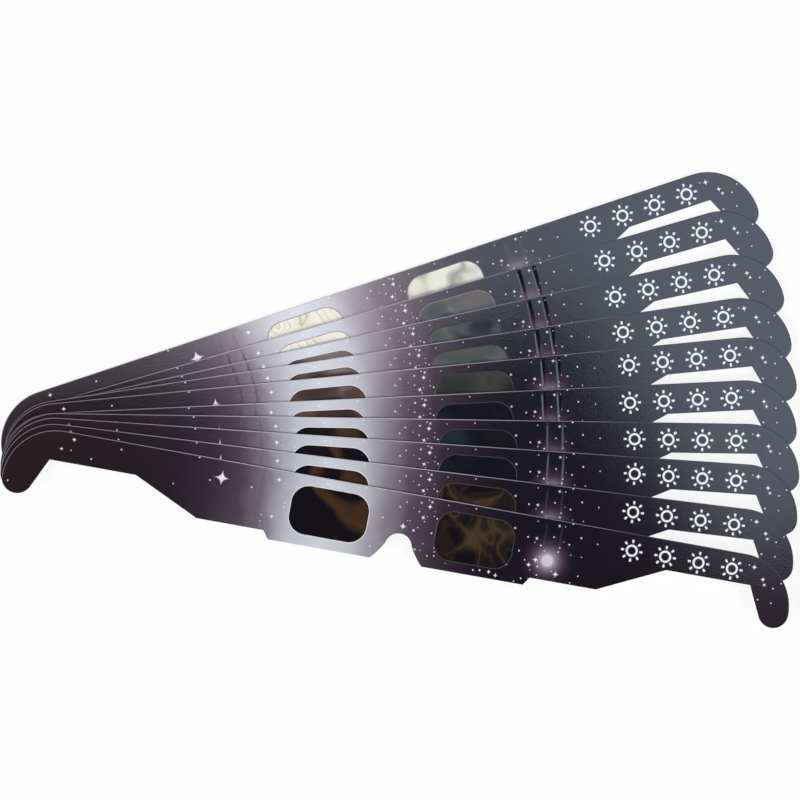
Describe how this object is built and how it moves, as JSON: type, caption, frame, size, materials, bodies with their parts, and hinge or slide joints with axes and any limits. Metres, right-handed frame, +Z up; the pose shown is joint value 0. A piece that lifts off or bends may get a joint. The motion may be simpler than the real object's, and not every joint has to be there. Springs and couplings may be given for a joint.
{
  "type": "eclipse glasses",
  "caption": "Fan of flat die-cut card eclipse glasses, each with two solar-film lenses, a nose notch and ear-hook arms that fold at creases.",
  "frame": {"origin": "centre of the fan's bounding box, on the underside of the bottom pair", "axes": "+X along the fan's length towards the right ear hooks, +Y away from the wearer's nose notches, +Z up out of the printed side"},
  "size_m": [0.4104, 0.2356, 0.0094],
  "materials": {
    "printed_card": "satin print, dark purple night sky with stars",
    "plain_card": "matt uncoated white card",
    "solar_film": "mirror-gloss, slightly wrinkled black polymer film"
  },
  "bodies": {
    "pair_01_frame": {"pair_01_front_card": "printed_card", "pair_01_back_card": "plain_card", "pair_01_left_film": "solar_film", "pair_01_right_film": "solar_film"},
    "pair_01_left_arm": {"pair_01_left_arm": "printed_card"},
    "pair_01_right_arm": {"pair_01_right_arm": "printed_card"},
    "pair_02_frame": {"pair_02_front_card": "printed_card", "pair_02_back_card": "plain_card", "pair_02_left_film": "solar_film", "pair_02_right_film": "solar_film"},
    "pair_02_left_arm": {"pair_02_left_arm": "printed_card"},
    "pair_02_right_arm": {"pair_02_right_arm": "printed_card"},
    "pair_03_frame": {"pair_03_front_card": "printed_card", "pair_03_back_card": "plain_card", "pair_03_left_film": "solar_film", "pair_03_right_film": "solar_film"},
    "pair_03_left_arm": {"pair_03_left_arm": "printed_card"},
    "pair_03_right_arm": {"pair_03_right_arm": "printed_card"},
    "pair_04_frame": {"pair_04_front_card": "printed_card", "pair_04_back_card": "plain_card", "pair_04_left_film": "solar_film", "pair_04_right_film": "solar_film"},
    "pair_04_left_arm": {"pair_04_left_arm": "printed_card"},
    "pair_04_right_arm": {"pair_04_right_arm": "printed_card"},
    "pair_05_frame": {"pair_05_front_card": "printed_card", "pair_05_back_card": "plain_card", "pair_05_left_film": "solar_film", "pair_05_right_film": "solar_film"},
    "pair_05_left_arm": {"pair_05_left_arm": "printed_card"},
    "pair_05_right_arm": {"pair_05_right_arm": "printed_card"},
    "pair_06_frame": {"pair_06_front_card": "printed_card", "pair_06_back_card": "plain_card", "pair_06_left_film": "solar_film", "pair_06_right_film": "solar_film"},
    "pair_06_left_arm": {"pair_06_left_arm": "printed_card"},
    "pair_06_right_arm": {"pair_06_right_arm": "printed_card"},
    "pair_07_frame": {"pair_07_front_card": "printed_card", "pair_07_back_card": "plain_card", "pair_07_left_film": "solar_film", "pair_07_right_film": "solar_film"},
    "pair_07_left_arm": {"pair_07_left_arm": "printed_card"},
    "pair_07_right_arm": {"pair_07_right_arm": "printed_card"},
    "pair_08_frame": {"pair_08_front_card": "printed_card", "pair_08_back_card": "plain_card", "pair_08_left_film": "solar_film", "pair_08_right_film": "solar_film"},
    "pair_08_left_arm": {"pair_08_left_arm": "printed_card"},
    "pair_08_right_arm": {"pair_08_right_arm": "printed_card"},
    "pair_09_frame": {"pair_09_front_card": "printed_card", "pair_09_back_card": "plain_card", "pair_09_left_film": "solar_film", "pair_09_right_film": "solar_film"},
    "pair_09_left_arm": {"pair_09_left_arm": "printed_card"},
    "pair_09_right_arm": {"pair_09_right_arm": "printed_card"},
    "pair_10_frame": {"pair_10_front_card": "printed_card", "pair_10_back_card": "plain_card", "pair_10_left_film": "solar_film", "pair_10_right_film": "solar_film"},
    "pair_10_left_arm": {"pair_10_left_arm": "printed_card"},
    "pair_10_right_arm": {"pair_10_right_arm": "printed_card"}
  },
  "joints": [
    {"name": "pair_01_left_fold", "type": "hinge", "parent": "pair_01_frame", "child": "pair_01_left_arm", "pos_m": [-0.08337, 0.02163, 0.0005], "axis": [0.3173, -0.9483, 0], "range_deg": [0, 90]},
    {"name": "pair_01_right_fold", "type": "hinge", "parent": "pair_01_frame", "child": "pair_01_right_arm", "pos_m": [0.05698, 0.06859, 0.0005], "axis": [-0.3173, 0.9483, 0], "range_deg": [0, 90]},
    {"name": "pair_02_lift", "type": "slide", "parent": "pair_01_frame", "child": "pair_02_frame", "axis": [0, 0, 1], "range_m": [0, 0.22]},
    {"name": "pair_02_left_fold", "type": "hinge", "parent": "pair_02_frame", "child": "pair_02_left_arm", "pos_m": [-0.07872, 0.01117, 0.00145], "axis": [0.279, -0.9603, 0], "range_deg": [0, 90]},
    {"name": "pair_02_right_fold", "type": "hinge", "parent": "pair_02_frame", "child": "pair_02_right_arm", "pos_m": [0.0634, 0.05246, 0.00145], "axis": [-0.279, 0.9603, 0], "range_deg": [0, 90]},
    {"name": "pair_03_lift", "type": "slide", "parent": "pair_02_frame", "child": "pair_03_frame", "axis": [0, 0, 1], "range_m": [0, 0.22]},
    {"name": "pair_03_left_fold", "type": "hinge", "parent": "pair_03_frame", "child": "pair_03_left_arm", "pos_m": [-0.0768, 0.00449, 0.0024], "axis": [0.2164, -0.9763, 0], "range_deg": [0, 90]},
    {"name": "pair_03_right_fold", "type": "hinge", "parent": "pair_03_frame", "child": "pair_03_right_arm", "pos_m": [0.06769, 0.03652, 0.0024], "axis": [-0.2164, 0.9763, 0], "range_deg": [0, 90]},
    {"name": "pair_04_lift", "type": "slide", "parent": "pair_03_frame", "child": "pair_04_frame", "axis": [0, 0, 1], "range_m": [0, 0.22]},
    {"name": "pair_04_left_fold", "type": "hinge", "parent": "pair_04_frame", "child": "pair_04_left_arm", "pos_m": [-0.07571, -0.001, 0.00335], "axis": [0.1495, -0.9888, 0], "range_deg": [0, 90]},
    {"name": "pair_04_right_fold", "type": "hinge", "parent": "pair_04_frame", "child": "pair_04_right_arm", "pos_m": [0.07062, 0.02113, 0.00335], "axis": [-0.1495, 0.9888, 0], "range_deg": [0, 90]},
    {"name": "pair_05_lift", "type": "slide", "parent": "pair_04_frame", "child": "pair_05_frame", "axis": [0, 0, 1], "range_m": [0, 0.22]},
    {"name": "pair_05_left_fold", "type": "hinge", "parent": "pair_05_frame", "child": "pair_05_left_arm", "pos_m": [-0.07439, -0.00778, 0.0043], "axis": [0.0958, -0.9954, 0], "range_deg": [0, 90]},
    {"name": "pair_05_right_fold", "type": "hinge", "parent": "pair_05_frame", "child": "pair_05_right_arm", "pos_m": [0.07293, 0.0064, 0.0043], "axis": [-0.0958, 0.9954, 0], "range_deg": [0, 90]},
    {"name": "pair_06_lift", "type": "slide", "parent": "pair_05_frame", "child": "pair_06_frame", "axis": [0, 0, 1], "range_m": [0, 0.22]},
    {"name": "pair_06_left_fold", "type": "hinge", "parent": "pair_06_frame", "child": "pair_06_left_arm", "pos_m": [-0.07501, -0.01775, 0.00525], "axis": [0.0471, -0.9989, 0], "range_deg": [0, 90]},
    {"name": "pair_06_right_fold", "type": "hinge", "parent": "pair_06_frame", "child": "pair_06_right_arm", "pos_m": [0.07282, -0.01077, 0.00525], "axis": [-0.0471, 0.9989, 0], "range_deg": [0, 90]},
    {"name": "pair_07_lift", "type": "slide", "parent": "pair_06_frame", "child": "pair_07_frame", "axis": [0, 0, 1], "range_m": [0, 0.22]},
    {"name": "pair_07_left_fold", "type": "hinge", "parent": "pair_07_frame", "child": "pair_07_left_arm", "pos_m": [-0.07342, -0.02438, 0.0062], "axis": [-0.0157, -0.9999, 0], "range_deg": [0, 90]},
    {"name": "pair_07_right_fold", "type": "hinge", "parent": "pair_07_frame", "child": "pair_07_right_arm", "pos_m": [0.07456, -0.0267, 0.0062], "axis": [0.0157, 0.9999, 0], "range_deg": [0, 90]},
    {"name": "pair_08_lift", "type": "slide", "parent": "pair_07_frame", "child": "pair_08_frame", "axis": [0, 0, 1], "range_m": [0, 0.22]},
    {"name": "pair_08_left_fold", "type": "hinge", "parent": "pair_08_frame", "child": "pair_08_left_arm", "pos_m": [-0.07347, -0.03215, 0.00715], "axis": [-0.068, -0.9977, 0], "range_deg": [0, 90]},
    {"name": "pair_08_right_fold", "type": "hinge", "parent": "pair_08_frame", "child": "pair_08_right_arm", "pos_m": [0.07418, -0.04221, 0.00715], "axis": [0.068, 0.9977, 0], "range_deg": [0, 90]},
    {"name": "pair_09_lift", "type": "slide", "parent": "pair_08_frame", "child": "pair_09_frame", "axis": [0, 0, 1], "range_m": [0, 0.22]},
    {"name": "pair_09_left_fold", "type": "hinge", "parent": "pair_09_frame", "child": "pair_09_left_arm", "pos_m": [-0.07375, -0.04106, 0.0081], "axis": [-0.1236, -0.9923, 0], "range_deg": [0, 90]},
    {"name": "pair_09_right_fold", "type": "hinge", "parent": "pair_09_frame", "child": "pair_09_right_arm", "pos_m": [0.07311, -0.05935, 0.0081], "axis": [0.1236, 0.9923, 0], "range_deg": [0, 90]},
    {"name": "pair_10_lift", "type": "slide", "parent": "pair_09_frame", "child": "pair_10_frame", "axis": [0, 0, 1], "range_m": [0, 0.22]},
    {"name": "pair_10_left_fold", "type": "hinge", "parent": "pair_10_frame", "child": "pair_10_left_arm", "pos_m": [-0.07339, -0.05015, 0.00905], "axis": [-0.1788, -0.9839, 0], "range_deg": [0, 90]},
    {"name": "pair_10_right_fold", "type": "hinge", "parent": "pair_10_frame", "child": "pair_10_right_arm", "pos_m": [0.07223, -0.07661, 0.00905], "axis": [0.1788, 0.9839, 0], "range_deg": [0, 90]}
  ],
  "couplings": [
    {"joint": "pair_02_left_fold", "follows": "pair_02_lift", "rad_per_m": 7.139},
    {"joint": "pair_02_right_fold", "follows": "pair_02_lift", "rad_per_m": 7.139},
    {"joint": "pair_03_left_fold", "follows": "pair_03_lift", "rad_per_m": 7.139},
    {"joint": "pair_03_right_fold", "follows": "pair_03_lift", "rad_per_m": 7.139},
    {"joint": "pair_04_left_fold", "follows": "pair_04_lift", "rad_per_m": 7.139},
    {"joint": "pair_04_right_fold", "follows": "pair_04_lift", "rad_per_m": 7.139},
    {"joint": "pair_05_left_fold", "follows": "pair_05_lift", "rad_per_m": 7.139},
    {"joint": "pair_05_right_fold", "follows": "pair_05_lift", "rad_per_m": 7.139},
    {"joint": "pair_06_left_fold", "follows": "pair_06_lift", "rad_per_m": 7.139},
    {"joint": "pair_06_right_fold", "follows": "pair_06_lift", "rad_per_m": 7.139},
    {"joint": "pair_07_left_fold", "follows": "pair_07_lift", "rad_per_m": 7.139},
    {"joint": "pair_07_right_fold", "follows": "pair_07_lift", "rad_per_m": 7.139},
    {"joint": "pair_08_left_fold", "follows": "pair_08_lift", "rad_per_m": 7.139},
    {"joint": "pair_08_right_fold", "follows": "pair_08_lift", "rad_per_m": 7.139},
    {"joint": "pair_09_left_fold", "follows": "pair_09_lift", "rad_per_m": 7.139},
    {"joint": "pair_09_right_fold", "follows": "pair_09_lift", "rad_per_m": 7.139},
    {"joint": "pair_10_left_fold", "follows": "pair_10_lift", "rad_per_m": 7.139},
    {"joint": "pair_10_right_fold", "follows": "pair_10_lift", "rad_per_m": 7.139}
  ]
}
